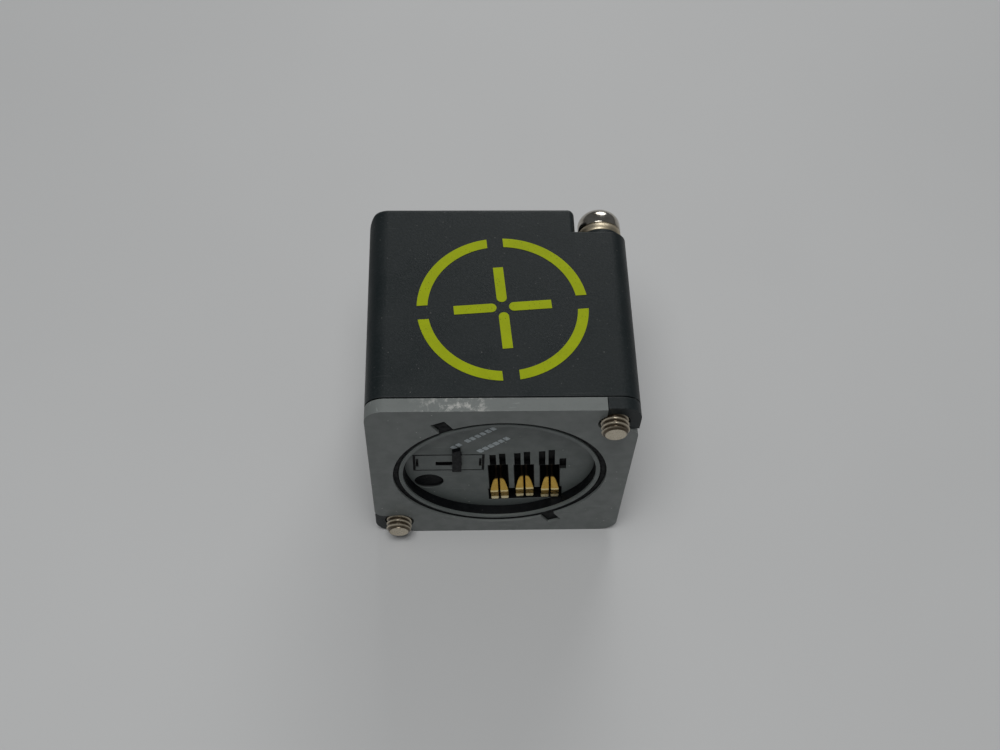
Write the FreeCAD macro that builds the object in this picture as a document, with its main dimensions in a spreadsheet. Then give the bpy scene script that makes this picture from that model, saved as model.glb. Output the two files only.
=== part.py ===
import FreeCAD, Part
import math
import os
import re
import Sketcher

# Square sensor head that plugs onto a switch body. +Z points out of the sensing face,
# -Y out of the mating face. The origin is the middle of the bottom face. Millimetres.
# Depths of pieces at the mating side are counted from the mating face towards the rear.

SIZES = [
    ("side", 40.4, "width and height of the head"),
    ("depth", 37.05, "mating face to rear face"),
    ("wall", 2.0, "housing wall"),
    ("edge", 3.0, "radius of the four long edges"),
    ("corner", 2.5, "radius of the two upright rear edges"),
    ("soft", 0.8, "rounding of the two level rear edges"),
    ("plate", 2.2, "base plate thickness"),
    ("seam", 0.25, "groove between the plate and the housing"),
    ("seam_deep", 0.3, "depth of that groove"),
    ("notch_wide", 5.2, "width of the base plate's corner notch"),
    ("notch_high", 6.0, "height of that notch"),
    ("notch_round", 1.7, "rounding where the notch meets the plate's sides"),
    ("relief", 2.45, "arc in the notch around the screw"),
    ("inset", 3.87, "screw axis from the two nearest sides"),
    ("post", 3.5, "radius of the screw post"),
    ("post_front", 0.3, "post face below the mating face"),
    ("bore", 2.3, "clearance hole for the thread"),
    ("web_hole", 1.75, "hole of the web that keeps the screw captive"),
    ("web_front", 8.3, "front of the web"),
    ("web_rear", 10.0, "rear of the web"),
    ("recess", 8.1, "width of the rear recess for the screw head"),
    ("recess_deep", 4.75, "depth of that recess"),
    ("boss", 0.9, "end of the screw post above the recess floor"),
    ("recess_round", 1.0, "rounding where the recess meets the rear face"),
    ("thread", 2.085, "outer radius of the thread"),
    ("thread_inner", 2.0, "the same behind the mating face"),
    ("thread_end", 4.2, "end of the threaded stretch"),
    ("shank", 1.68, "radius of the undercut shank"),
    ("tip", 1.9, "screw tip beyond the mating face"),
    ("head_out", 1.7, "screw head beyond the rear face"),
    ("tip_chamfer", 0.35, "chamfer of the screw tip"),
    ("head", 3.43, "radius of the screw head"),
    ("head_crown", 2.5, "height of the domed part of the head"),
    ("slot", 1.1, "driver slot width"),
    ("slot_deep", 1.7, "driver slot depth"),
    ("washer", 1.45, "lock washer thickness"),
    ("washer_hole", 2.2, "lock washer inner radius"),
    ("split", 0.5, "gap of the split washer"),
    ("seat", 0.05, "play above and below the washer"),
    ("opening", 16.7, "radius of the base plate's opening"),
    ("floor", 2.1, "depth of the round recess"),
    ("hub", 14.95, "radius of the round recess's floor"),
    ("flange", 17.6, "radius of the carrier's flange"),
    ("flange_rear", 4.6, "rear of the carrier"),
    ("lip_in", 15.1, "inner radius of the retainer ring"),
    ("lip_out", 15.75, "outer radius of the retainer ring"),
    ("lip_front", 0.25, "retainer ring below the mating face"),
    ("lip_rear", 0.6, "rear of the retainer ring"),
    ("lip_x", -0.05, "retainer ring off the hub's axis"),
    ("lip_seat", 15.95, "outer radius of the step that the retainer lies on"),
    ("gasket_front", 0.4, "gasket below the mating face"),
    ("lug_reach", 19.2, "gasket lug's outer end from the hub's axis"),
    ("lug_wide", 2.2, "gasket lug width"),
    ("lug_play", 0.1, "play round the gasket lug"),
    ("window_x", -8.0, "middle of the selector window"),
    ("window_z", 0.55, "the same, above the hub's axis"),
    ("window_long", 11.2, "selector window length"),
    ("window_high", 5.4, "selector window height"),
    ("window_gap", 0.38, "gap round the selector bezel"),
    ("bezel_rear", 3.8, "rear of the selector bezel"),
    ("end_slot_x", 4.95, "end slots of the bezel from its middle"),
    ("end_slot", 0.4, "width of the end slots"),
    ("end_slot_high", 2.8, "height of the end slots"),
    ("end_slot_deep", 0.6, "depth of the end slots"),
    ("channel_long", 4.1, "length of the selector channel"),
    ("channel_high", 0.9, "height of the selector channel"),
    ("liner", 0.2, "black lining above and below the channel"),
    ("switch_in", 0.9, "switch behind the carrier, in from the window's edge"),
    ("channel_drop", 0.35, "channel below the middle of the window"),
    ("knob_front", 1.45, "front of the selector knob"),
    ("knob_wide", 1.45, "knob bar width"),
    ("knob_low", 1.95, "knob bar below the middle of the window"),
    ("knob_high", 3.5, "knob bar above the same"),
    ("pointer", 1.5, "pointer beyond the knob bar"),
    ("play", 0.05, "play of the sliding knob"),
    ("stem_rear", 5.4, "end of the knob's stem"),
    ("pitch", 4.1, "contact pitch"),
    ("contact_x", -0.29, "first contact from the hub's axis"),
    ("pocket", 3.0, "contact pocket width"),
    ("pocket_top", -0.4, "top of the first contact pocket"),
    ("pocket_step", 0.3, "each next pocket's top is this much lower"),
    ("strip_top", -8.7, "top of the pocket that joins them"),
    ("strip_low", -12.4, "bottom of the same"),
    ("strip_left", -2.0, "left end of the same"),
    ("strip_right", 9.75, "right end of the same"),
    ("rim", 0.12, "wall of the contact block round the pockets"),
    ("side_left", 9.43, "left end of the groove beside the last pocket"),
    ("side_right", 10.5, "right end of that groove"),
    ("side_low", -2.6, "lower end of that groove"),
    ("side_top", 1.05, "upper end of that groove"),
    ("groove_deep", 0.7, "depth of the grooves"),
    ("groove", 1.0, "width of the two grooves above each pocket"),
    ("groove_x", -0.26, "middle of the first pair of grooves from the hub's axis"),
    ("groove_pitch", 3.86, "distance between pairs of grooves"),
    ("groove_apart", 1.5, "distance between the grooves of a pair"),
    ("groove_top", 3.05, "top of the first groove"),
    ("groove_step", 0.3, "each next pair reaches this much higher"),
    ("groove_rise", 0.3, "the right groove of a pair reaches this much higher"),
    ("fill_x", -11.18, "fill hole from the hub's axis"),
    ("fill_z", -5.74, "the same, above the axis"),
    ("fill", 2.35, "fill hole radius"),
    ("fill_deep", 0.4, "plug below the recess floor"),
    ("root_y", 4.2, "finger hinge below the mating face"),
    ("root_z", -1.0, "finger hinge above the hub's axis"),
    ("elbow_y", 3.6, "finger elbow below the mating face"),
    ("elbow_z", -3.9, "finger elbow above the hub's axis"),
    ("shoulder_y", 2.3, "finger shoulder below the mating face"),
    ("shoulder_z", -5.3, "finger shoulder above the hub's axis"),
    ("crest_y", 1.25, "finger crest below the mating face"),
    ("crest_z", -8.0, "finger crest above the hub's axis"),
    ("knee_y", 2.05, "finger foot below the mating face"),
    ("knee_z", -11.1, "top of the finger foot"),
    ("foot_z", -12.1, "end of the finger"),
    ("strip", 0.3, "finger thickness"),
    ("finger_tip", 1.46, "half width of a pair at the crest"),
    ("finger_mid", 1.1, "half width of a pair at the middle of its taper"),
    ("finger_top", 0.55, "half width of a pair above the taper"),
    ("finger_gap", 0.34, "gap between the two fingers"),
    ("taper_z", -7.6, "lower end of the taper"),
    ("taper_mid", -6.2, "middle of the taper"),
    ("taper_top", -5.45, "upper end of the taper"),
    ("fork_z", -2.4, "where the two fingers part"),
    ("block_front", 4.65, "front of the contact block"),
    ("board_front", 7.65, "front of the circuit board"),
    ("board", 1.2, "circuit board thickness"),
    ("board_wide", 33.0, "circuit board width"),
    ("board_low", 3.2, "bottom edge of the circuit board"),
    ("board_top", 29.0, "top edge of the circuit board"),
    ("tail_rear", 9.6, "end of the contact tails"),
    ("tail", 1.6, "contact tail width"),
    ("core", 11.0, "ferrite core radius"),
    ("core_high", 7.6, "ferrite core height"),
    ("core_gap", 0.3, "gap between the core and the sensing wall"),
    ("core_wall", 1.8, "outer wall of the ferrite core"),
    ("core_floor", 2.2, "floor of the ferrite core"),
    ("core_pin", 5.0, "middle post of the ferrite core"),
    ("core_bore", 1.5, "hole through the middle post"),
    ("bobbin", 0.5, "bobbin wall"),
    ("fit", 0.15, "gap between stacked coil pieces"),
    ("wire", 0.3, "coil lead radius"),
    ("print_x", 0.3, "middle of the aiming mark"),
    ("print_y", -0.48, "the same, towards the mating side"),
    ("print_turn", 4.3, "how far the mark is turned, degrees"),
    ("print_high", 0.05, "ink thickness"),
    ("ring_in", 11.32, "inner radius of the mark's ring"),
    ("ring_out", 12.95, "outer radius of the mark's ring"),
    ("ring_gap", 2.5, "gaps in the ring"),
    ("arm", 1.55, "width of the mark's arms"),
    ("arm_in", 0.95, "inner end of an arm"),
    ("arm_out", 7.4, "outer end of an arm"),
]
CONTACTS = 3
CONTACT_SINK = (0.0, 0.3, 0.0)
CONTACT_TURN = 3.5
LUG_ANGLES = (120.0, -60.0)
SCREWS = {"upper": 1, "lower": -1}

doc = FreeCAD.newDocument("SensorHead")
sheet = doc.addObject("Spreadsheet::Sheet", "Sizes")
for row, (alias, value, meaning) in enumerate(SIZES, start=1):
    sheet.set(f"A{row}", meaning)
    sheet.set(f"B{row}", str(value))
    sheet.setAlias(f"B{row}", alias)
doc.recompute()
ALIASES = {alias for alias, value, meaning in SIZES}


def formula(text):
    """Write cell names in text as references to the sheet."""
    text = str(text)
    return re.sub(r"[a-z_]+", lambda m: "Sizes." + m[0] if m[0] in ALIASES else m[0], text)


def number(text):
    """Value of a formula now."""
    return float(sheet.evalExpression(formula(text)))


def bind(thing, **formulas):
    """Bind properties to formulas; two underscores stand for a dot."""
    for name, text in formulas.items():
        thing.setExpression(name.replace("__", "."), formula(text))


def at_depth(text):
    """Y of a depth counted from the mating face."""
    return f"({text}) - depth / 2"


# ---- sketches and features ---------------------------------------------------------


def new_body(label, x="0", y="0", z="0"):
    body = doc.addObject("PartDesign::Body", label)
    body.Label = label
    bind(body, Placement__Base__x=x, Placement__Base__y=y, Placement__Base__z=z)
    return body


def new_sketch(body, role, offset="0", turn=0.0):
    """Sketch on an origin plane of the body, moved by offset along the plane's normal."""
    sketch = body.newObject("Sketcher::SketchObject", body.Label + "_sketch")
    face = next(f for f in body.Origin.OriginFeatures if f.Role == role)
    sketch.AttachmentSupport = (face, [""])
    sketch.MapMode = "FlatFace"
    turned = FreeCAD.Rotation(FreeCAD.Vector(0, 0, 1), turn)
    sketch.AttachmentOffset = FreeCAD.Placement(FreeCAD.Vector(0, 0, 0), turned)
    bind(sketch, AttachmentOffset__Base__z=offset)
    return sketch


def front_sketch(body, depth_text, turn=0.0):
    """Sketch facing the mating side at a depth; its x is X and its y is Z."""
    return new_sketch(body, "XZ_Plane", f"-({at_depth(depth_text)})", turn)


def place_point(sketch, line, end, x, y):
    """Hold a point of a sketch at two formulas."""
    for kind, axis, text in (("DistanceX", -2, x), ("DistanceY", -1, y)):
        value = number(text)
        if abs(value) < 1e-9:
            sketch.addConstraint(Sketcher.Constraint("PointOnObject", line, end, axis))
            continue
        held = sketch.addConstraint(Sketcher.Constraint(kind, -1, 1, line, end, value))
        sketch.setExpression(f"Constraints[{held}]", formula(text))


def polygon(sketch, points):
    """Closed outline through points given as pairs of formulas."""
    spots = [FreeCAD.Vector(number(x), number(y), 0) for x, y in points]
    first = sketch.GeometryCount
    count = len(points)
    for i in range(count):
        sketch.addGeometry(Part.LineSegment(spots[i], spots[(i + 1) % count]))
    for i in range(count):
        after = first + (i + 1) % count
        sketch.addConstraint(Sketcher.Constraint("Coincident", first + i, 2, after, 1))
    for i, (x, y) in enumerate(points):
        place_point(sketch, first + i, 1, x, y)


def rectangle(sketch, left, right, low, top):
    polygon(sketch, [(left, low), (right, low), (right, top), (left, top)])


def circle(sketch, x, y, radius):
    middle = FreeCAD.Vector(number(x), number(y), 0)
    line = sketch.addGeometry(Part.Circle(middle, FreeCAD.Vector(0, 0, 1), number(radius)))
    held = sketch.addConstraint(Sketcher.Constraint("Radius", line, number(radius)))
    sketch.setExpression(f"Constraints[{held}]", formula(radius))
    place_point(sketch, line, 3, x, y)


def pad(body, sketch, length, rearward=True, both_ways=False):
    feature = body.newObject("PartDesign::Pad", body.Label + "_pad")
    feature.Profile = sketch
    feature.Reversed = rearward
    feature.Midplane = both_ways
    bind(feature, Length=length)
    doc.recompute()
    return feature


def cut(body, sketch, length=None, forward=False, both_ways=False):
    """Pocket towards the rear, or forward; through everything without a length."""
    before = body.Shape.Volume
    feature = body.newObject("PartDesign::Pocket", body.Label + "_cut")
    feature.Profile = sketch
    feature.Reversed = forward
    feature.Midplane = both_ways
    if length is None:
        feature.Type = "ThroughAll"
    else:
        bind(feature, Length=length)
    doc.recompute()
    if body.Shape.Volume > before - 1e-6:
        raise ValueError(f"{feature.Label} removes nothing")
    return feature


def turn_round(body, sketch):
    """Revolve a sketch round its own vertical axis."""
    feature = body.newObject("PartDesign::Revolution", body.Label + "_turn")
    feature.Profile = sketch
    feature.ReferenceAxis = (sketch, ["V_Axis"])
    feature.Angle = 360.0
    doc.recompute()
    return feature


def turned_body(label, points, role="XY_Plane", x="0", z="0"):
    """Body of revolution: points are (radius, along the axis)."""
    body = new_body(label, x=x, z=z)
    sketch = new_sketch(body, role)
    polygon(sketch, points)
    turn_round(body, sketch)
    return body


def edges_where(shape, test):
    """Names of the edges whose middle and direction pass the test."""
    names = []
    for i, edge in enumerate(shape.Edges, start=1):
        middle = edge.valueAt((edge.FirstParameter + edge.LastParameter) / 2)
        along = edge.tangentAt((edge.FirstParameter + edge.LastParameter) / 2)
        if test(middle, along):
            names.append(f"Edge{i}")
    return names


def round_edges(body, test, radius):
    base = body.Tip
    names = edges_where(base.Shape, test)
    feature = body.newObject("PartDesign::Fillet", body.Label + "_round")
    feature.Base = (base, names)
    bind(feature, Radius=radius)
    doc.recompute()
    return feature


# ---- solids from primitives --------------------------------------------------------


def box(name, x, y, z, length, width, height):
    solid = doc.addObject("Part::Box", name)
    bind(solid, Length=length, Width=width, Height=height)
    bind(solid, Placement__Base__x=x, Placement__Base__y=y, Placement__Base__z=z)
    return solid


def cylinder(name, x, y, z, radius, height, along_y=False):
    solid = doc.addObject("Part::Cylinder", name)
    if along_y:
        lying = FreeCAD.Rotation(FreeCAD.Vector(1, 0, 0), -90)
        solid.Placement = FreeCAD.Placement(FreeCAD.Vector(0, 0, 0), lying)
    bind(solid, Radius=radius, Height=height)
    bind(solid, Placement__Base__x=x, Placement__Base__y=y, Placement__Base__z=z)
    return solid


def minus(label, base, *tools):
    """Base with each tool cut away."""
    for i, tool in enumerate(tools):
        result = doc.addObject("Part::Cut", f"{label}_cut{i}")
        result.Base = base
        result.Tool = tool
        base = result
    base.Label = label
    return base


def joined(label, *solids):
    result = doc.addObject("Part::MultiFuse", label)
    result.Shapes = list(solids)
    result.Label = label
    return result


def grouped(label, solids):
    result = doc.addObject("Part::Compound", label)
    result.Links = list(solids)
    result.Label = label
    return result


# ---- housing -----------------------------------------------------------------------

SCREW_X = "(side / 2 - inset)"
SCREW_SEAT = "(depth - recess_deep + boss)"


def corner_bite(body, sign):
    """Sketch, seen from above, of what rounding takes off an upright rear edge."""
    sketch = new_sketch(body, "XY_Plane")
    middle = (f"{sign} * (side / 2 - corner)", "depth / 2 - corner")
    points = [
        (f"{sign} * side / 2", middle[1]),
        (f"{sign} * (side / 2 + 1)", middle[1]),
        (f"{sign} * (side / 2 + 1)", "depth / 2 + 1"),
        (middle[0], "depth / 2 + 1"),
    ]
    spots = [FreeCAD.Vector(number(x), number(y), 0) for x, y in points]
    last = FreeCAD.Vector(number(middle[0]), number("depth / 2"), 0)
    for start, end in zip(spots, spots[1:] + [last]):
        sketch.addGeometry(Part.LineSegment(start, end))
    centre = FreeCAD.Vector(number(middle[0]), number(middle[1]), 0)
    whole = Part.Circle(centre, FreeCAD.Vector(0, 0, 1), number("corner"))
    angles = (0, math.pi / 2) if sign > 0 else (math.pi / 2, math.pi)
    arc = sketch.addGeometry(Part.ArcOfCircle(whole, *angles))
    at_side, at_rear = (1, 2) if sign > 0 else (2, 1)
    for line in range(3):
        sketch.addConstraint(Sketcher.Constraint("Coincident", line, 2, line + 1, 1))
    sketch.addConstraint(Sketcher.Constraint("Coincident", arc, at_side, 0, 1))
    sketch.addConstraint(Sketcher.Constraint("Coincident", arc, at_rear, 3, 2))
    sketch.addConstraint(Sketcher.Constraint("Vertical", 3))
    for line, (x, y) in enumerate(points):
        place_point(sketch, line, 1, x, y)
    place_point(sketch, arc, 3, *middle)
    return sketch


def make_housing():
    """Cup with two screw posts, open towards the mating side."""
    body = new_body("housing_shell", z="side / 2")
    half = "side / 2"
    outline = front_sketch(body, "plate + seam")
    rectangle(outline, f"-{half}", half, f"-{half}", half)
    pad(body, outline, "depth - plate - seam")
    half = "(side / 2 - seam_deep)"
    neck = front_sketch(body, "plate")
    rectangle(neck, f"-{half}", half, f"-{half}", half)
    pad(body, neck, "seam + wall / 2")
    for sign in SCREWS.values():
        block = front_sketch(body, "post_front")
        near_x = f"{sign} * (side / 2 - notch_wide + lug_play)"
        near_z = f"{sign} * (side / 2 - notch_high + lug_play)"
        far = f"{sign} * side / 2"
        rectangle(block, near_x, far, near_z, far)
        pad(body, block, "plate - post_front")
    outer = number("side / 2 - seam_deep") - 0.01
    at_corner = lambda m: abs(m.x) > outer and abs(m.z) > outer
    round_edges(body, lambda m, a: abs(a.y) > 0.9 and at_corner(m), "edge")
    rear = number("depth / 2") - 0.1
    round_edges(body, lambda m, a: abs(a.z) > 0.9 and m.y > rear, "soft")
    for sign in (-1, 1):
        cut(body, corner_bite(body, sign), both_ways=True)
    cavity = front_sketch(body, "plate")
    rectangle(cavity, "wall - side / 2", "side / 2 - wall", "wall - side / 2", "side / 2 - wall")
    cut(body, cavity, "depth - plate - wall")
    for sign in SCREWS.values():
        post = front_sketch(body, "plate")
        circle(post, f"{sign} * {SCREW_X}", f"{sign} * {SCREW_X}", "post")
        pad(body, post, "depth - plate - wall / 2")
        corner = front_sketch(body, "plate")
        near = f"{sign} * {SCREW_X}"
        far = f"{sign} * (side / 2 - 0.9)"
        inner = f"{sign} * (side / 2 - recess - wall)"
        rectangle(corner, near, far, near, far)
        pad(body, corner, "depth - plate - wall / 2")
        roof = front_sketch(body, "depth - recess_deep - wall")
        rectangle(roof, inner, far, inner, far)
        pad(body, roof, "recess_deep + wall - wall / 2")
        hollow = front_sketch(body, "depth - recess_deep")
        edge_in = f"{sign} * (side / 2 - recess)"
        edge_out = f"{sign} * (side / 2 + 1)"
        rectangle(hollow, edge_in, edge_out, edge_in, edge_out)
        cut(body, hollow)
        boss = front_sketch(body, "depth - recess_deep - wall / 2")
        circle(boss, near, near, "post")
        pad(body, boss, "boss + wall / 2")
        for radius, low, top in (
            ("bore", "post_front - 0.5", "web_front"),
            ("web_hole", "web_front - 0.1", "web_rear + 0.1"),
            ("bore", "web_rear", "depth - recess_deep + boss + 0.5"),
        ):
            hole = front_sketch(body, low)
            circle(hole, near, near, radius)
            cut(body, hole, f"({top}) - ({low})")
    lip = number("side / 2 - recess")
    beside = lambda m: abs(abs(m.x) - lip) < 0.01 or abs(abs(m.z) - lip) < 0.01
    round_edges(body, lambda m, a: m.y > rear and abs(a.y) < 0.1 and beside(m), "recess_round")
    return body


def make_base_plate():
    body = new_body("base_plate", z="side / 2")
    outline = front_sketch(body, "0")
    rectangle(outline, "-side / 2", "side / 2", "-side / 2", "side / 2")
    pad(body, outline, "plate")
    round_edges(body, lambda m, a: abs(a.y) > 0.9, "edge")
    opening = front_sketch(body, "0")
    circle(opening, "0", "0", "opening")
    cut(body, opening)
    for sign in SCREWS.values():
        corner = front_sketch(body, "0")
        near_x = f"{sign} * (side / 2 - notch_wide)"
        near_z = f"{sign} * (side / 2 - notch_high)"
        far = f"{sign} * (side / 2 + 1)"
        rectangle(corner, near_x, far, near_z, far)
        cut(body, corner)
        relief = front_sketch(body, "0")
        circle(relief, f"{sign} * {SCREW_X}", f"{sign} * {SCREW_X}", "relief")
        cut(body, relief)
    for angle in LUG_ANGLES:
        lug = front_sketch(body, "0", angle)
        half = "lug_wide / 2 + lug_play"
        rectangle(lug, "opening - 1", "lug_reach + lug_play", f"-({half})", half)
        cut(body, lug)
    along = number("side / 2 - notch_wide")
    up = number("side / 2 - notch_high")
    outside = number("side / 2") - 0.01
    on_base = lambda m: m.z < -outside and abs(abs(m.x) - along) < 0.01
    on_side = lambda m: abs(m.x) > outside and abs(abs(m.z) - up) < 0.01
    round_edges(body, lambda m, a: abs(a.y) > 0.9 and (on_base(m) or on_side(m)), "notch_round")
    return body


# ---- round recess ------------------------------------------------------------------


def contact_x(i):
    return f"contact_x + {i} * pitch"


def pocket_spans(rim):
    """Left, right, low and top of each contact pocket, widened by a rim."""
    spans = [(f"strip_left - {rim}", f"strip_right + {rim}", f"strip_low - {rim}", f"strip_top + {rim}")]
    for i in range(CONTACTS):
        left = f"{contact_x(i)} - pocket / 2 - {rim}"
        right = f"{contact_x(i)} + pocket / 2 + {rim}"
        top = f"pocket_top - {i} * pocket_step + {rim}"
        spans.append((left, right, "strip_top - rim", top))
    return spans


def groove_spans():
    """The same for the two grooves above each pocket and the one at their right."""
    spans = [("side_left", "side_right", "side_low", "side_top")]
    for i in range(CONTACTS):
        low = f"pocket_top - {i} * pocket_step - rim"
        for side in (0, 1):
            centre = f"groove_x + {i} * groove_pitch + ({side} - 0.5) * groove_apart"
            top = f"groove_top + {i} * groove_step + {side} * groove_rise"
            spans.append((f"{centre} - groove / 2", f"{centre} + groove / 2", low, top))
    return spans


def make_contact_carrier():
    """Round insert: recess floor, selector window, contact pockets and fill hole."""
    front = at_depth("floor")
    shoulder = at_depth("plate")
    rear = at_depth("flange_rear")
    outline = [("0", front), ("hub", front), ("hub", shoulder)]
    outline += [("flange", shoulder), ("flange", rear), ("0", rear)]
    body = turned_body("contact_carrier", outline, z="side / 2")
    window = front_sketch(body, "floor")
    half_long = "window_long / 2"
    half_high = "window_high / 2"
    rectangle(
        window,
        f"window_x - {half_long}",
        f"window_x + {half_long}",
        f"window_z - {half_high}",
        f"window_z + {half_high}",
    )
    cut(body, window)
    for spans in pocket_spans("rim") + groove_spans():
        hole = front_sketch(body, "floor", CONTACT_TURN)
        rectangle(hole, *spans)
        cut(body, hole)
    hole = front_sketch(body, "floor")
    circle(hole, "fill_x", "fill_z", "fill")
    cut(body, hole)
    return body


def make_hub_gasket():
    """Rubber ring with a step for the retainer and a lug at each side."""
    front = at_depth("gasket_front")
    step = at_depth("lip_rear")
    rear = at_depth("plate")
    outline = [("hub", step), ("lip_seat", step), ("lip_seat", front)]
    outline += [("opening", front), ("opening", rear), ("hub", rear)]
    body = turned_body("hub_gasket", outline, z="side / 2")
    corner = front_sketch(body, "gasket_front", CONTACT_TURN)
    right = "strip_right + rim + play"
    rectangle(corner, "0", right, "strip_low - rim - play", "pocket_top")
    cut(body, corner)
    for angle in LUG_ANGLES:
        lug = front_sketch(body, "gasket_front", angle)
        rectangle(lug, "opening - 0.4", "lug_reach", "-lug_wide / 2", "lug_wide / 2")
        pad(body, lug, "plate - gasket_front")
    return body


def make_seal_retainer():
    front = at_depth("lip_front")
    rear = at_depth("lip_rear")
    outline = [("lip_in", front), ("lip_out", front), ("lip_out", rear), ("lip_in", rear)]
    return turned_body("seal_retainer", outline, x="lip_x", z="side / 2")


def make_fill_plug():
    front = at_depth("floor + fill_deep")
    rear = at_depth("flange_rear")
    outline = [("0", front), ("fill", front), ("fill", rear), ("0", rear)]
    return turned_body("fill_plug", outline, x="fill_x", z="side / 2 + fill_z")


def make_selector_bezel():
    body = new_body("selector_bezel", x="window_x", z="side / 2 + window_z")
    outline = front_sketch(body, "floor")
    half_long = "(window_long / 2 - window_gap)"
    half_high = "(window_high / 2 - window_gap)"
    rectangle(outline, f"-{half_long}", half_long, f"-{half_high}", half_high)
    pad(body, outline, "bezel_rear - floor")
    channel = front_sketch(body, "floor")
    channel_outline(channel, "liner")
    cut(body, channel)
    for side in (-1, 1):
        slot = front_sketch(body, "floor")
        left = f"{side} * end_slot_x - end_slot / 2"
        right = f"{side} * end_slot_x + end_slot / 2"
        rectangle(slot, left, right, "-end_slot_high / 2", "end_slot_high / 2")
        cut(body, slot, "end_slot_deep")
    return body


def channel_outline(sketch, above="0", ends="0"):
    """The channel that the knob's stem runs in, or the room for its lining."""
    low = f"-channel_drop - channel_high / 2 - ({above})"
    high = f"channel_high / 2 - channel_drop + {above}"
    half = f"(channel_long / 2 - {ends})"
    rectangle(sketch, f"-{half}", half, low, high)


KNOB_X = "(window_x + channel_long / 2 - play - knob_wide / 2)"


def make_selector_slide():
    """Knob bar with a pointer, and a stem that runs in the channel."""
    body = new_body("selector_slide", x=KNOB_X, z="side / 2 + window_z")
    bar = front_sketch(body, "knob_front")
    rectangle(bar, "-knob_wide / 2", "knob_wide / 2", "-knob_low", "knob_high")
    pad(body, bar, "floor - play - knob_front")
    pointer = front_sketch(body, "knob_front")
    polygon(
        pointer,
        [
            ("-knob_wide / 2", "knob_high - 0.3"),
            ("knob_wide / 2 - 0.1", "knob_high - 0.3"),
            ("knob_wide / 2 - 0.2", "knob_high + pointer"),
            ("-knob_wide / 2", "knob_high + pointer - 0.5"),
        ],
    )
    pad(body, pointer, "floor - play - knob_front")
    stem = front_sketch(body, "floor - play - 0.2")
    low = "play - channel_drop - channel_high / 2"
    high = "channel_high / 2 - channel_drop - play"
    rectangle(stem, "-knob_wide / 2", "knob_wide / 2", low, high)
    pad(body, stem, "stem_rear - floor + play + 0.2")
    return body


def make_selector_switch():
    """Switch behind the bezel; its black rim and lining frame the bezel and the channel."""
    body = new_body("selector_switch_body", x="window_x", z="side / 2 + window_z")
    outline = front_sketch(body, "floor + play")
    half_long = "(window_long / 2 - play)"
    half_high = "(window_high / 2 - play)"
    rectangle(outline, f"-{half_long}", half_long, f"-{half_high}", half_high)
    pad(body, outline, "flange_rear - floor - play")
    behind = front_sketch(body, "flange_rear - play")
    half_long = "(window_long / 2 - switch_in)"
    half_high = "(window_high / 2 - switch_in)"
    rectangle(behind, f"-{half_long}", half_long, f"-{half_high}", half_high)
    pad(body, behind, "board_front - flange_rear + play")
    pocket = front_sketch(body, "floor")
    half_long = "(window_long / 2 - window_gap + play)"
    half_high = "(window_high / 2 - window_gap + play)"
    rectangle(pocket, f"-{half_long}", half_long, f"-{half_high}", half_high)
    cut(body, pocket, "bezel_rear + play - floor")
    lining = front_sketch(body, "floor + play")
    channel_outline(lining, "liner - play", "play")
    pad(body, lining, "bezel_rear - floor")
    channel = front_sketch(body, "floor")
    channel_outline(channel)
    cut(body, channel, "stem_rear + fit - floor")
    return body


# ---- contacts ----------------------------------------------------------------------


def make_contact_fingers(i):
    """Bent strip, slit into two tapered fingers."""
    sink = CONTACT_SINK[i]
    along = f"({contact_x(i)}) * cos({CONTACT_TURN})"
    rise = f"({contact_x(i)}) * sin({CONTACT_TURN})"
    body = new_body(f"contact_fingers_{i + 1}", x=along, z=f"side / 2 + {rise}")
    body.Placement.Rotation = FreeCAD.Rotation(FreeCAD.Vector(0, -1, 0), CONTACT_TURN)
    side_view = new_sketch(body, "YZ_Plane")
    knee = f"knee_y + {sink}"
    outer = [
        ("root_y", "root_z"),
        ("elbow_y", "elbow_z"),
        (f"shoulder_y + {sink}", "shoulder_z"),
        (f"crest_y + {sink}", "crest_z"),
        (knee, "knee_z"),
        (knee, "foot_z"),
    ]
    inner = [(f"{y} + strip", z) for y, z in reversed(outer)]
    polygon(side_view, [(at_depth(y), z) for y, z in outer + inner])
    pad(body, side_view, "2 * finger_tip", rearward=False, both_ways=True)
    front_view = front_sketch(body, "0")
    rectangle(front_view, "-finger_tip - 1", "finger_tip + 1", "foot_z - 1", "root_z + 1")
    right = [
        ("finger_gap / 2", "fork_z"),
        ("finger_gap / 2", "foot_z - 0.1"),
        ("finger_tip", "foot_z - 0.1"),
        ("finger_tip", "taper_z"),
        ("finger_mid", "taper_mid"),
        ("finger_top", "taper_top"),
        ("finger_top", "root_z + 0.1"),
    ]
    left = [(f"-({x})", z) for x, z in reversed(right)]
    polygon(front_view, right + left)
    cut(body, front_view)
    return body


def make_contact_terminal(i):
    """Tail that carries one pair of fingers to the board."""
    body = new_body(f"contact_terminal_{i + 1}", z="side / 2")
    front = "root_y + strip + play"
    outline = front_sketch(body, front, CONTACT_TURN)
    middle = contact_x(i)
    rectangle(outline, f"{middle} - tail / 2", f"{middle} + tail / 2", "root_z - strip", "root_z")
    pad(body, outline, f"tail_rear - ({front})")
    return body


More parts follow.
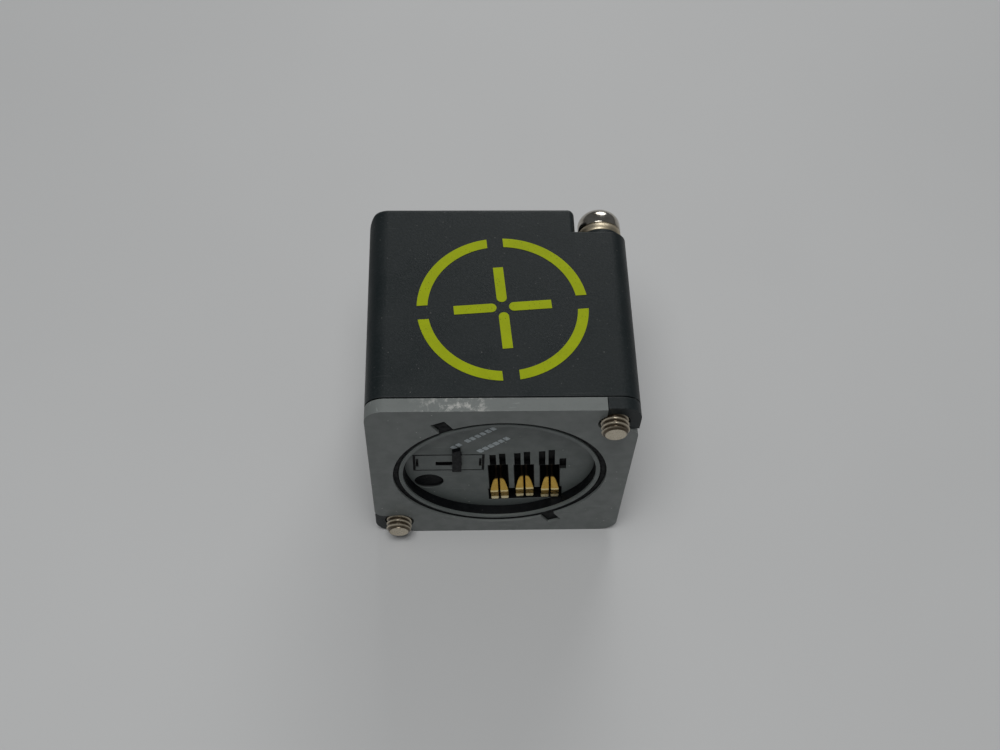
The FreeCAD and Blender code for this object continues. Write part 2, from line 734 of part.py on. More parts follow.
def make_contact_block():
    """Insulator whose rim lines the carrier's pockets and fills its grooves."""
    body = new_body("contact_block", z="side / 2")
    base = front_sketch(body, "block_front", CONTACT_TURN)
    low = "strip_low - 2 * rim"
    rectangle(base, "strip_left - 2 * rim", "strip_right + 2 * rim", low, "groove_top + 2")
    pad(body, base, "board_front - block_front - play")
    for spans in pocket_spans("rim"):
        collar = front_sketch(body, "floor + play", CONTACT_TURN)
        rectangle(collar, *spans)
        pad(body, collar, "block_front + play - floor")
    for spans in groove_spans():
        filling = front_sketch(body, "floor + groove_deep", CONTACT_TURN)
        rectangle(filling, *spans)
        pad(body, filling, "block_front + play - floor - groove_deep")
    for spans in pocket_spans("0"):
        pocket = front_sketch(body, "floor", CONTACT_TURN)
        rectangle(pocket, *spans)
        cut(body, pocket, "block_front - floor")
    for i in range(CONTACTS):
        slot = front_sketch(body, "floor", CONTACT_TURN)
        half = "(tail / 2 + play)"
        middle = contact_x(i)
        low = "root_z - strip - play"
        rectangle(slot, f"{middle} - {half}", f"{middle} + {half}", low, "root_z + play")
        cut(body, slot)
    return body


# ---- screws ------------------------------------------------------------------------


def make_screw(name, sign):
    """Captive screw: short thread, undercut shank, slotted domed head."""
    place = {"x": f"{sign} * {SCREW_X}", "z": f"side / 2 + {sign} * {SCREW_X}"}
    body = new_body(f"captive_screw_{name}", **place)
    sketch = new_sketch(body, "XY_Plane")
    head_seat = at_depth(f"{SCREW_SEAT} + washer + 2 * seat")
    head_top = at_depth("depth + head_out")
    outline = [
        ("0", at_depth("-tip")),
        ("thread - tip_chamfer", at_depth("-tip")),
        ("thread", at_depth("tip_chamfer - tip")),
        ("thread", at_depth("play")),
        ("thread_inner", at_depth("play")),
        ("thread_inner", at_depth("thread_end")),
        ("shank", at_depth("thread_end")),
        ("shank", head_seat),
        ("head", head_seat),
        ("head", f"{head_top} - head_crown"),
        ("head * 0.9", f"{head_top} - head_crown * 0.55"),
        ("head * 0.62", f"{head_top} - head_crown * 0.15"),
        ("0", head_top),
    ]
    polygon(sketch, outline)
    turn_round(body, sketch)
    slot = front_sketch(body, "depth + head_out - slot_deep")
    rectangle(slot, "-head - 1", "head + 1", "-slot / 2", "slot / 2")
    cut(body, slot)
    return body


def make_washer(name, sign):
    """Split lock washer."""
    low = at_depth(f"{SCREW_SEAT} + seat")
    top = at_depth(f"{SCREW_SEAT} + seat + washer")
    outline = [("washer_hole", low), ("head", low), ("head", top), ("washer_hole", top)]
    place = {"x": f"{sign} * {SCREW_X}", "z": f"side / 2 + {sign} * {SCREW_X}"}
    body = turned_body(f"lock_washer_{name}", outline, **place)
    gap = front_sketch(body, f"{SCREW_SEAT} - 1")
    rectangle(gap, "-split / 2", "split / 2", "-head - 1", "0")
    cut(body, gap)
    return body


# ---- board and coil ----------------------------------------------------------------


def make_circuit_board():
    body = new_body("circuit_board")
    outline = front_sketch(body, "board_front")
    rectangle(outline, "-board_wide / 2", "board_wide / 2", "board_low", "board_top")
    pad(body, outline, "board")
    corner = front_sketch(body, "board_front")
    circle(corner, f"-{SCREW_X}", "inset", "post + 0.4")
    cut(body, corner)
    shift = f"side / 2 * sin({CONTACT_TURN})"
    lift = f"side / 2 * cos({CONTACT_TURN})"
    for i in range(CONTACTS):
        slot = front_sketch(body, "board_front", CONTACT_TURN)
        left = f"{contact_x(i)} - tail / 2 - play + {shift}"
        right = f"{contact_x(i)} + tail / 2 + play + {shift}"
        low = f"root_z - strip - play + {lift}"
        rectangle(slot, left, right, low, f"root_z + play + {lift}")
        cut(body, slot)
    return body


def make_board_parts():
    """Chip, transistor and capacitors on the rear of the board."""
    face = at_depth("board_front + board")
    chip = box("oscillator_chip", "-7", face, "18", "5", "1.5", "4")
    transistor = box("output_transistor", "3", face, "21.5", "6.5", "2.3", "5")
    capacitors = []
    for i, (x, z) in enumerate(((-12, 13), (-12, 17), (-1, 22), (-9, 25))):
        capacitors.append(box(f"capacitor_{i + 1}", str(x), face, str(z), "2", "1.2", "1.2"))
    return [chip, transistor, grouped("chip_capacitors", capacitors)]


CORE_TOP = "side - wall - core_gap"
CORE_LOW = "side - wall - core_gap - core_high"


def make_ferrite_core():
    """Pot core, open towards the sensing face, with two holes for the leads."""
    outline = [
        ("core_bore", CORE_LOW),
        ("core", CORE_LOW),
        ("core", CORE_TOP),
        ("core - core_wall", CORE_TOP),
        ("core - core_wall", f"{CORE_LOW} + core_floor"),
        ("core_pin", f"{CORE_LOW} + core_floor"),
        ("core_pin", CORE_TOP),
        ("core_bore", CORE_TOP),
    ]
    body = turned_body("ferrite_core", outline, role="XZ_Plane")
    leads = new_sketch(body, "XY_Plane", f"{CORE_LOW} - 1")
    for sign in (-1, 1):
        circle(leads, f"{sign} * 1.5", LEAD_Y, "wire + fit")
    cut(body, leads, "core_floor + 2", forward=True)
    return body


LEAD_Y = "-(core_pin + core - core_wall) / 2"


def make_bobbin():
    low = f"({CORE_LOW} + core_floor + fit)"
    top = f"({CORE_TOP} - fit)"
    inner = "core_pin + fit"
    outer = "core - core_wall - fit"
    outline = [
        (inner, low),
        (outer, low),
        (outer, f"{low} + bobbin"),
        (f"{inner} + bobbin", f"{low} + bobbin"),
        (f"{inner} + bobbin", f"{top} - bobbin"),
        (outer, f"{top} - bobbin"),
        (outer, top),
        (inner, top),
    ]
    return turned_body("coil_bobbin", outline, role="XZ_Plane")


def make_winding():
    low = f"({CORE_LOW} + core_floor + 2 * fit + bobbin)"
    top = f"({CORE_TOP} - 2 * fit - bobbin)"
    inner = "core_pin + 2 * fit + bobbin"
    outer = "core - core_wall - 2 * fit"
    outline = [(inner, low), (outer, low), (outer, top), (inner, top)]
    return turned_body("coil_winding", outline, role="XZ_Plane")


def make_coil_leads():
    """Two wires from the coil down to the rear of the board."""
    low = "board_top - 2"
    leads = []
    for i, sign in enumerate((-1, 1)):
        x = f"{sign} * 1.5"
        height = f"{CORE_LOW} + core_floor - {low}"
        upright = cylinder(f"lead_up_{i}", x, LEAD_Y, low, "wire", height)
        across = cylinder(
            f"lead_across_{i}",
            x,
            at_depth("board_front + board"),
            low,
            "wire",
            f"{LEAD_Y} - ({at_depth('board_front + board')})",
            along_y=True,
        )
        leads.append(joined(f"lead_{i}", upright, across))
    return grouped("coil_leads", leads)


def make_potting():
    """Resin block behind the board, clear of the post and the rear recesses."""
    front = "board_front + board + 5"
    rear = "depth - recess_deep - wall - fit"
    resin = box(
        "resin_blank",
        "wall + fit - side / 2",
        at_depth(front),
        "wall + fit",
        "side - 2 * wall - 2 * fit",
        f"{rear} - ({front})",
        f"{CORE_LOW} - wall - 2 * fit",
    )
    post = cylinder(
        "resin_post", f"-{SCREW_X}", at_depth(front), "inset", "post + 2.2", f"{rear}", along_y=True
    )
    return minus("potting_compound", resin, post)


# ---- aiming mark -------------------------------------------------------------------


def make_reticle():
    """Ring in four arcs and a cross with an open middle, as raised ink."""
    outer = cylinder("mark_outer", "0", "0", "0", "ring_out", "print_high")
    inner = cylinder("mark_inner", "0", "0", "-1", "ring_in", "2")
    bars = []
    for i in range(2):
        bar = doc.addObject("Part::Box", f"mark_gap_{i}")
        turned = FreeCAD.Rotation(FreeCAD.Vector(0, 0, 1), number("print_turn") + 90 * i)
        half = FreeCAD.Vector(-20, -number("ring_gap") / 2, -1)
        bar.Placement = FreeCAD.Placement(turned.multVec(half), turned)
        bar.Length = 40
        bar.Height = 2
        bind(bar, Width="ring_gap")
        bars.append(bar)
    pieces = [minus("mark_ring", outer, inner, *bars)]
    for i in range(4):
        turned = FreeCAD.Rotation(FreeCAD.Vector(0, 0, 1), number("print_turn") + 90 * i)
        start = number("arm_in + arm / 2")
        end = doc.addObject("Part::Cylinder", f"mark_end_{i}")
        end.Placement = FreeCAD.Placement(turned.multVec(FreeCAD.Vector(start, 0, 0)), turned)
        bind(end, Radius="arm / 2", Height="print_high")
        bar = doc.addObject("Part::Box", f"mark_bar_{i}")
        low = FreeCAD.Vector(start, -number("arm / 2"), 0)
        bar.Placement = FreeCAD.Placement(turned.multVec(low), turned)
        bind(bar, Length="arm_out - arm_in - arm / 2", Width="arm", Height="print_high")
        pieces.append(joined(f"mark_arm_{i}", end, bar))
    mark = grouped("reticle_print", pieces)
    bind(mark, Placement__Base__x="print_x", Placement__Base__y="print_y", Placement__Base__z="side")
    return mark


# ---- assembly ----------------------------------------------------------------------


def make_all():
    pieces = [
        make_housing(),
        make_base_plate(),
        make_contact_carrier(),
        make_hub_gasket(),
        make_seal_retainer(),
        make_fill_plug(),
        make_selector_bezel(),
        make_selector_slide(),
        make_selector_switch(),
        make_contact_block(),
        make_circuit_board(),
        make_ferrite_core(),
        make_bobbin(),
        make_winding(),
        make_coil_leads(),
        make_potting(),
        make_reticle(),
    ]
    pieces += make_board_parts()
    for i in range(CONTACTS):
        pieces += [make_contact_fingers(i), make_contact_terminal(i)]
    for name, sign in SCREWS.items():
        pieces += [make_screw(name, sign), make_washer(name, sign)]
    return pieces


def check(pieces):
    for thing in doc.Objects:
        if "Invalid" in thing.State or "Error" in thing.State:
            raise ValueError(f"{thing.Label} failed: {thing.State}")
    for piece in pieces:
        if piece.Shape.isNull() or not piece.Shape.isValid() or not piece.Shape.Solids:
            raise ValueError(f"{piece.Label} has no sound solid")


def write(pieces):
    os.makedirs("parts", exist_ok=True)
    for piece in pieces:
        piece.Shape.exportStep(f"parts/{piece.Label}.step")
        print(piece.Label, len(piece.Shape.Solids), round(piece.Shape.Volume, 2))


made = make_all()
doc.recompute()
check(made)
write(made)
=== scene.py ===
import math
import random

import bmesh
import bpy
from mathutils import Matrix, Vector


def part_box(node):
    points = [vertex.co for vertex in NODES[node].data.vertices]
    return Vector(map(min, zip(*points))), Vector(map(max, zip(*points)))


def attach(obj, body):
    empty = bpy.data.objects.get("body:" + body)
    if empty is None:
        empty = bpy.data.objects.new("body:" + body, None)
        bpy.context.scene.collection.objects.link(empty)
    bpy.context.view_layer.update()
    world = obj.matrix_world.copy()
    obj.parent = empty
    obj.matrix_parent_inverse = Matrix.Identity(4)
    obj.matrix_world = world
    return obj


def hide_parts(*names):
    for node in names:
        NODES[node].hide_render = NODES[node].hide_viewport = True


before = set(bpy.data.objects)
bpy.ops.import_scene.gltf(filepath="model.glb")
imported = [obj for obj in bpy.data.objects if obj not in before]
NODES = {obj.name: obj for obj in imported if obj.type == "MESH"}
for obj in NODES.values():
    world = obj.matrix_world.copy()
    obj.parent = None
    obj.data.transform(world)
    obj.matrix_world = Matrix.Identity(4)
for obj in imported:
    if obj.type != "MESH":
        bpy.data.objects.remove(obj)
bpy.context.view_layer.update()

# Visual model of a plug-in sensing head with captive screws, spring contacts and a selector.
# Units are metres, and MM turns the millimetres written here into metres. The mating side
# faces -Y and the sensing face +Z. A depth counts from the mating face towards the rear.

MM = 0.001
PLATE_LOW, PLATE_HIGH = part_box("base_plate")
FRONT_Y = PLATE_LOW.y
HUB_Z = (PLATE_LOW.z + PLATE_HIGH.z) / 2
TOP_Z = PLATE_HIGH.z
FLOOR_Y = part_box("contact_carrier")[0].y


def depth(mm):
    """Y of a depth below the mating face."""
    return FRONT_Y + mm * MM


# ---- camera, sky and lamps -------------------------------------------------------------

# The camera's place, lens and sensor are in millimetres.
CAMERA_AZIMUTH = math.radians(-4.342)
CAMERA_ELEVATION = math.radians(58.290)
CAMERA_ROLL = math.radians(3.318)
CAMERA_PLACE = (-7.79, -109.285, 197.58)
FOCAL_LENGTH = 45.73
SENSOR_WIDTH = 36.0
SKY_COLOR = (0.95, 0.98, 1.0)
SKY_STRENGTH = 0.12
LAMP_COLOR = (1.0, 1.0, 0.99)
# Name, place, point it is aimed at, diameter (all metres) and watts.
LAMPS = (
    ("overhead", (-0.05, -0.12, 0.6), (0, 0, 0.02), 0.34, 1.9),
    ("rear_wash", (0.15, 0.85, 0.5), (0, 0.2, 0), 0.6, 2.8),
)


def make_camera():
    """Looks down at the mating face, as a hand-held camera does."""
    azimuth, elevation, roll = CAMERA_AZIMUTH, CAMERA_ELEVATION, CAMERA_ROLL
    forward = Vector(
        (
            -math.sin(azimuth) * math.cos(elevation),
            math.cos(azimuth) * math.cos(elevation),
            -math.sin(elevation),
        )
    )
    level = Vector((math.cos(azimuth), math.sin(azimuth), 0))
    upright = level.cross(forward)
    right = level * math.cos(roll) + upright * math.sin(roll)
    up = upright * math.cos(roll) - level * math.sin(roll)
    data = bpy.data.cameras.new("camera")
    data.sensor_width = SENSOR_WIDTH
    data.lens = FOCAL_LENGTH
    data.clip_start = MM
    camera = bpy.data.objects.new("camera", data)
    turned = Matrix((right, up, -forward)).transposed().to_4x4()
    camera.matrix_world = Matrix.Translation([mm * MM for mm in CAMERA_PLACE]) @ turned
    bpy.context.scene.collection.objects.link(camera)
    bpy.context.scene.camera = camera


def make_lamp(name, place, target, diameter, watts):
    """A round area light aimed at a point."""
    data = bpy.data.lights.new(name, "AREA")
    data.shape = "DISK"
    data.size = diameter
    data.energy = watts
    data.color = LAMP_COLOR
    light = bpy.data.objects.new(name, data)
    aim = (Vector(target) - Vector(place)).to_track_quat("-Z", "Y")
    light.matrix_world = Matrix.Translation(place) @ aim.to_matrix().to_4x4()
    bpy.context.scene.collection.objects.link(light)


def make_world():
    """A dim, slightly cool sky, and colours shown without a film curve."""
    world = bpy.data.worlds.new("soft_studio")
    world.use_nodes = True
    sky = world.node_tree.nodes["Background"]
    sky.inputs["Color"].default_value = (*SKY_COLOR, 1)
    sky.inputs["Strength"].default_value = SKY_STRENGTH
    scene = bpy.context.scene
    scene.world = world
    scene.view_settings.view_transform = "Standard"


# ---- materials -------------------------------------------------------------------------

BEVEL_SAMPLES = 6
GLOSS_RANGE = (0.35, 0.65)
# Cosine between the true and the rounded normal, beside an edge and on it.
EDGE_RANGE = (0.96, 0.78)


def scaled(color, factor):
    """The same colour, darker or brighter."""
    return tuple(c * factor for c in color)


class Finish:
    """One procedural material. Textures are laid out in millimetres of the object."""

    def __init__(self, name, color, roughness, metallic=0.0, specular=0.5):
        self.material = bpy.data.materials.new(name)
        self.material.use_nodes = True
        self.tree = self.material.node_tree
        self.shader = self.tree.nodes["Principled BSDF"]
        self.color = color
        self.set("Base Color", (*color, 1))
        self.set("Roughness", roughness)
        self.set("Metallic", metallic)
        self.set("Specular IOR Level", specular)
        self.normal = None
        self.paint = None
        self.place = self.add("ShaderNodeTexCoord").outputs["Object"]

    def set(self, socket, value):
        self.shader.inputs[socket].default_value = value

    def add(self, kind, **settings):
        node = self.tree.nodes.new(kind)
        for key, value in settings.items():
            setattr(node, key, value)
        return node

    def link(self, source, target):
        self.tree.links.new(source, target)

    def stretched(self, x=1.0, y=1.0, z=1.0, turn=(0, 0, 0)):
        """Object coordinates in millimetres, scaled along each axis."""
        mapping = self.add("ShaderNodeMapping")
        mapping.inputs["Scale"].default_value = (x / MM, y / MM, z / MM)
        mapping.inputs["Rotation"].default_value = turn
        self.link(self.place, mapping.inputs["Vector"])
        return mapping.outputs["Vector"]

    def noise(self, per_mm, detail, rough=0.55, warp=0.0, vector=None):
        """Fractal noise from 0 to 1, with so many features in a millimetre."""
        node = self.add("ShaderNodeTexNoise")
        node.inputs["Scale"].default_value = per_mm
        node.inputs["Detail"].default_value = detail
        node.inputs["Roughness"].default_value = rough
        node.inputs["Distortion"].default_value = warp
        self.link(vector or self.stretched(), node.inputs["Vector"])
        return node.outputs["Fac"]

    def spots(self, per_mm, size):
        """1 inside small round spots, 0 elsewhere."""
        node = self.add("ShaderNodeTexVoronoi")
        node.inputs["Scale"].default_value = per_mm
        self.link(self.stretched(), node.inputs["Vector"])
        return self.spread(node.outputs["Distance"], size, size * 0.5)

    def spread(self, value, low, high, top=1.0, bottom=0.0):
        """Value mapped from low..high to bottom..top, clamped."""
        node = self.add("ShaderNodeMapRange")
        node.inputs["From Min"].default_value = low
        node.inputs["From Max"].default_value = high
        node.inputs["To Min"].default_value = bottom
        node.inputs["To Max"].default_value = top
        self.link(value, node.inputs["Value"])
        return node.outputs["Result"]

    def times(self, *values):
        """Product of sockets and plain numbers. The first is a socket."""
        result = values[0]
        for value in values[1:]:
            node = self.add("ShaderNodeMath", operation="MULTIPLY")
            self.link(result, node.inputs[0])
            if isinstance(value, (int, float)):
                node.inputs[1].default_value = value
            else:
                self.link(value, node.inputs[1])
            result = node.outputs[0]
        return result

    def coordinate(self, axis):
        """X, Y or Z of the object, in millimetres."""
        node = self.add("ShaderNodeSeparateXYZ")
        self.link(self.stretched(), node.inputs[0])
        return node.outputs[axis]

    def away(self, axis):
        """Distance from a line along Y through the (x, z) given, in millimetres."""
        node = self.add("ShaderNodeVectorMath", operation="DISTANCE")
        flat = self.add("ShaderNodeVectorMath", operation="MULTIPLY")
        flat.inputs[1].default_value = (1, 0, 1)
        self.link(self.stretched(), flat.inputs[0])
        self.link(flat.outputs[0], node.inputs[0])
        node.inputs[1].default_value = (axis[0], 0, axis[1])
        return node.outputs["Value"]

    def tint(self, amount, color):
        """Blends a colour over what is painted so far, where amount is 1."""
        node = self.add("ShaderNodeMix", data_type="RGBA")
        if self.paint is None:
            node.inputs["A"].default_value = (*self.color, 1)
        else:
            self.link(self.paint, node.inputs["A"])
        node.inputs["B"].default_value = (*color, 1)
        self.link(amount, node.inputs["Factor"])
        self.paint = node.outputs["Result"]
        self.link(self.paint, self.shader.inputs["Base Color"])

    def gloss(self, value, smooth, rough):
        """Roughness from smooth to rough as the value crosses GLOSS_RANGE."""
        roughness = self.spread(value, *GLOSS_RANGE, rough, smooth)
        self.link(roughness, self.shader.inputs["Roughness"])

    def bump(self, height, mm, strength):
        """Relief of the given depth, on top of any before it."""
        node = self.add("ShaderNodeBump")
        node.inputs["Strength"].default_value = strength
        node.inputs["Distance"].default_value = mm * MM
        self.link(height, node.inputs["Height"])
        if self.normal is not None:
            self.link(self.normal, node.inputs["Normal"])
        self.normal = node.outputs["Normal"]
        self.link(self.normal, self.shader.inputs["Normal"])

    def soften(self, mm):
        """Rounds the edges that light sees. Comes before any bump."""
        node = self.add("ShaderNodeBevel", samples=BEVEL_SAMPLES)
        node.inputs["Radius"].default_value = mm * MM
        self.normal = node.outputs["Normal"]
        self.link(self.normal, self.shader.inputs["Normal"])

    def edges(self, mm):
        """1 along outer and inner edges, as wide as the given radius."""
        bevel = self.add("ShaderNodeBevel", samples=BEVEL_SAMPLES)
        bevel.inputs["Radius"].default_value = mm * MM
        flat = self.add("ShaderNodeNewGeometry")
        dot = self.add("ShaderNodeVectorMath", operation="DOT_PRODUCT")
        self.link(bevel.outputs["Normal"], dot.inputs[0])
        self.link(flat.outputs["Normal"], dot.inputs[1])
        return self.spread(dot.outputs["Value"], *EDGE_RANGE)


def housing_finish():
    """Spark-textured black moulding with rubbed edges, dust and hairline scratches."""
    bloom, peaks = (0.01, 0.0138, 0.015), (0.0145, 0.019, 0.021)
    rubbed, scratched, dust = (0.055, 0.058, 0.06), (0.06, 0.063, 0.065), (0.09, 0.09, 0.088)
    f = Finish("housing_black", (0.007, 0.0112, 0.0124), 0.5, specular=0.27)
    f.soften(0.15)
    cloud = f.noise(0.12, 4)
    f.tint(f.spread(cloud, 0.4, 0.7, 0.6), bloom)
    f.tint(f.times(f.edges(0.5), f.spread(f.noise(0.9, 5), 0.4, 0.62), 0.5), rubbed)
    hair = f.noise(0.55, 2, 0.5, 0.3, f.stretched(0.25, 6.0, 1.0, (0.1, 0.2, 0.5)))
    f.tint(f.spread(hair, 0.71, 0.76, 0.35), scratched)
    f.tint(f.times(f.spots(1.1, 0.13), f.spread(f.noise(0.3, 2), 0.5, 0.6)), dust)
    f.gloss(cloud, 0.4, 0.54)
    f.tint(f.spread(f.noise(2.6, 3, 0.7), 0.48, 0.62, 0.7), peaks)
    f.bump(f.noise(3.6, 4, 0.65), 0.035, 0.9)
    f.bump(f.noise(1.2, 2), 0.02, 0.25)
    return f.material


def gray_finish(name, color, smudge):
    """Satin gray moulding with flow clouds, fine grain, dust and scratches."""
    dust = (0.42, 0.42, 0.4)
    f = Finish(name, color, 0.5)
    f.soften(0.12)
    cloud = f.noise(0.16, 5, 0.6, 0.6)
    f.tint(f.spread(cloud, 0.38, 0.7, 0.55), scaled(color, smudge))
    f.tint(f.spread(f.noise(2.2, 4), 0.55, 0.8, 0.35), scaled(color, 0.72))
    hair = f.noise(0.8, 2, 0.5, 0.2, f.stretched(0.3, 1.0, 5.0, (0.0, 0.6, 0.1)))
    f.tint(f.spread(hair, 0.7, 0.74, 0.5), scaled(color, 1.8))
    f.tint(f.times(f.spots(0.9, 0.12), f.spread(f.noise(0.25, 2), 0.52, 0.6)), dust)
    f.gloss(f.noise(0.5, 4), 0.38, 0.6)
    f.bump(f.noise(6.0, 3, 0.6), 0.008, 0.8)
    return f


def plate_finish():
    """Gray of the base plate, with pale scuffs on the left half of its upper edge."""
    scuffed, rubbed = (0.44, 0.44, 0.42), (0.3, 0.31, 0.3)
    top = TOP_Z / MM
    f = gray_finish("base_plate_gray", (0.14, 0.153, 0.149), 1.15)
    upper = f.spread(f.coordinate("Z"), top - 0.25, top - 0.05)
    left = f.times(f.spread(f.coordinate("X"), -14, -8), f.spread(f.coordinate("X"), -1.5, -4.0))
    rub = f.spread(f.noise(0.9, 6, 0.75, 0.3), 0.5, 0.6)
    f.tint(f.times(upper, left, rub, 0.8), scuffed)
    worn = f.times(f.edges(0.25), f.spread(f.noise(0.7, 4), 0.45, 0.6))
    f.tint(f.times(worn, 0.45), rubbed)
    return f.material


def carrier_finish(name):
    """Gray of the insert and its trim, with painted shade in whatever lies below its floor."""
    rubbed, recess_shade = (0.2, 0.21, 0.21), (0.004, 0.004, 0.0045)
    floor = FLOOR_Y / MM
    f = gray_finish(name, (0.11, 0.125, 0.121), 1.12)
    worn = f.times(f.edges(0.12), f.spread(f.noise(1.5, 4), 0.4, 0.6))
    f.tint(f.times(worn, 0.35), rubbed)
    # Painted shade: a near-black tint over everything deeper than the floor.
    below_floor = f.spread(f.coordinate("Y"), floor + 0.08, floor + 0.25)
    f.tint(f.times(below_floor, 0.93), recess_shade)
    return f.material


def rubber_finish():
    """Matt black rubber, a little dusty."""
    bloom, dust = (0.007, 0.008, 0.0095), (0.11, 0.11, 0.11)
    f = Finish("gasket_rubber", (0.003, 0.0036, 0.0044), 0.62, specular=0.12)
    f.soften(0.12)
    f.tint(f.spread(f.noise(0.8, 5), 0.45, 0.7, 0.7), bloom)
    f.tint(f.times(f.spots(1.6, 0.12), f.spread(f.noise(0.5, 2), 0.5, 0.6)), dust)
    f.gloss(f.noise(1.0, 4), 0.45, 0.75)
    f.bump(f.noise(3.0, 4), 0.02, 0.6)
    return f.material


def black_plastic_finish(name, color=(0.0025, 0.0025, 0.003), rough=0.5, specular=0.08):
    """Fine-grained black moulding of the knob and the insulators."""
    f = Finish(name, color, rough, specular=specular)
    f.soften(0.08)
    f.tint(f.spread(f.noise(1.4, 5), 0.45, 0.7, 0.6), scaled(color, 2.2))
    f.gloss(f.noise(2.0, 3), rough - 0.12, rough + 0.12)
    f.bump(f.noise(7.0, 3), 0.01, 0.7)
    return f.material


def ink_finish():
    """Pad-printed yellow-green ink with pits, thin patches and a soft sheen."""
    thin, thinner, bare = (0.28, 0.335, 0.002), (0.2, 0.235, 0.004), (0.03, 0.035, 0.006)
    f = Finish("reticle_ink", (0.325, 0.39, 0.0015), 0.5, specular=0.14)
    f.tint(f.spread(f.noise(0.5, 4), 0.4, 0.7, 0.6), thin)
    f.tint(f.spread(f.noise(5.0, 4, 0.7), 0.56, 0.72, 0.5), thinner)
    pits = f.times(f.spots(2.6, 0.2), f.spread(f.noise(0.45, 3), 0.5, 0.58))
    f.tint(f.times(pits, 0.85), bare)
    f.gloss(f.noise(1.2, 4), 0.42, 0.6)
    f.bump(f.noise(5.0, 4, 0.7), 0.012, 0.6)
    return f.material


def mark_finish():
    """Thin pale print, worn through in places."""
    worn = (0.22, 0.25, 0.26)
    f = Finish("label_print", (0.46, 0.51, 0.53), 0.55)
    f.tint(f.spread(f.noise(3.5, 4, 0.7), 0.5, 0.62, 0.8), worn)
    f.gloss(f.noise(2.0, 3), 0.45, 0.65)
    f.bump(f.noise(6.0, 3), 0.006, 0.6)
    return f.material


def gold_finish(with_painted_light=False):
    """Gold over nickel. With painted light, as on the fingers, painted shade darkens the strip
    above the shoulder and painted highlights brighten the crest and foot.
    """
    thin, worn = (0.6, 0.36, 0.07), (0.4, 0.24, 0.08)
    f = Finish("finger_gold" if with_painted_light else "terminal_gold", (0.74, 0.48, 0.11), 0.3, 1.0)
    f.soften(0.05)
    f.tint(f.spread(f.noise(0.9, 4), 0.4, 0.7, 0.7), thin)
    f.tint(f.spread(f.noise(4.0, 5, 0.7), 0.58, 0.72, 0.6), worn)
    if with_painted_light:
        paint_finger_light(f)
    f.gloss(f.noise(1.5, 4), 0.22, 0.42)
    grain = f.noise(2.0, 3, 0.6, 0.0, f.stretched(6.0, 0.4, 0.4))
    f.bump(grain, 0.006, 0.5)
    return f.material


def paint_finger_light(f):
    """Paints shade over the fingers above the shoulder, and paints highlights that make their
    crest and foot pale.
    """
    upper_shade, crest_highlight, foot_highlight = (0.02, 0.014, 0.01), (1.0, 0.85, 0.42), (1.0, 0.88, 0.55)
    split = f.add("ShaderNodeSeparateXYZ")
    f.link(f.stretched(turn=(0, CONTACT_TURN, 0)), split.inputs[0])
    above = split.outputs["Z"]
    top = HUB_Z / MM * math.cos(CONTACT_TURN) - SHOULDER_DROP
    # Painted shade: a near-black tint over the strip above the shoulder.
    f.tint(f.spread(above, top - 0.1, top + 0.15), upper_shade)
    over_crest = f.spread(above, top - 2.25, top - 2.45)
    crest = f.times(f.spread(above, top - 2.85, top - 2.7), over_crest)
    foot = f.spread(above, top - 5.7, top - 5.9)
    # Painted highlights: pale gold on the crest and the foot.
    f.tint(f.times(crest, 0.9), crest_highlight)
    f.tint(f.times(foot, 0.9), foot_highlight)
    metal = f.times(f.spread(crest, 0.0, 1.0, 0.45, 1.0), f.spread(foot, 0.0, 1.0, 0.45, 1.0))
    f.link(metal, f.shader.inputs["Metallic"])


def steel_finish(name, color, stain, smooth, rough, axis=None):
    """Nickel plate, tarnished in patches, with fine turning marks.

    A screw, which gives the (x, z) of its axis, is duller at its threaded end."""
    f = Finish(name, color, 0.3, metallic=1.0)
    f.tint(f.spread(f.noise(0.7, 5, 0.6), 0.42, 0.68, 0.75), stain)
    f.tint(f.spread(f.noise(3.2, 4, 0.7), 0.6, 0.75, 0.6), scaled(stain, 0.4))
    if axis:
        dull_thread(f, axis, smooth, rough)
    else:
        f.gloss(f.noise(1.4, 4), smooth, rough)
    f.bump(f.noise(2.4, 4, 0.7), 0.01, 0.5)
    f.bump(f.noise(2.0, 2, 0.5, 0.0, f.stretched(0.3, 8.0, 0.3)), 0.006, 0.4)
    return f.material


def dull_thread(f, axis, smooth, rough):
    """A worn, yellowed thread, with painted shade in its valleys."""
    yellowed, recess_shade = (0.58, 0.51, 0.39), (0.07, 0.05, 0.03)
    full, none = FRONT_Y / MM + 5.0, FRONT_Y / MM + 6.0
    outward = f.away(axis)
    tip = f.spread(f.coordinate("Y"), none, full)
    f.tint(f.times(tip, 0.85), yellowed)
    # Painted shade: dark brown in the thread's valleys near the tip.
    valley = f.times(tip, f.spread(outward, 2.05, 1.82), f.spread(outward, 1.5, 1.62))
    f.tint(f.times(valley, 0.95), recess_shade)
    metal = f.spread(f.coordinate("Y"), full, none, 1.0, 0.6)
    f.link(metal, f.shader.inputs["Metallic"])
    f.gloss(f.times(tip, f.noise(1.4, 4)), smooth, rough + 0.15)


def plain_inner_finish(name, color, rough, metallic=0.0):
    """For pieces that the housing hides."""
    f = Finish(name, color, rough, metallic=metallic)
    f.tint(f.spread(f.noise(0.6, 4), 0.4, 0.7, 0.6), scaled(color, 0.6))
    f.gloss(f.noise(1.5, 3), rough - 0.15, rough + 0.15)
    f.bump(f.noise(3.0, 3), 0.015, 0.6)
    return f.material


def floor_finish():
    """Plain pale table."""
    f = Finish("pale_floor", (0.56, 0.565, 0.57), 0.6)
    f.tint(f.spread(f.noise(0.01, 3), 0.4, 0.6, 0.4), (0.53, 0.535, 0.54))
    f.bump(f.noise(0.8, 4), 0.03, 0.3)
    return f.material


def dress(thing, material):
    """Gives an object one material on all its faces."""
    thing.data.materials.clear()
    thing.data.materials.append(material)
    for face in thing.data.polygons:
        face.material_index = 0


# ---- mesh helpers ----------------------------------------------------------------------


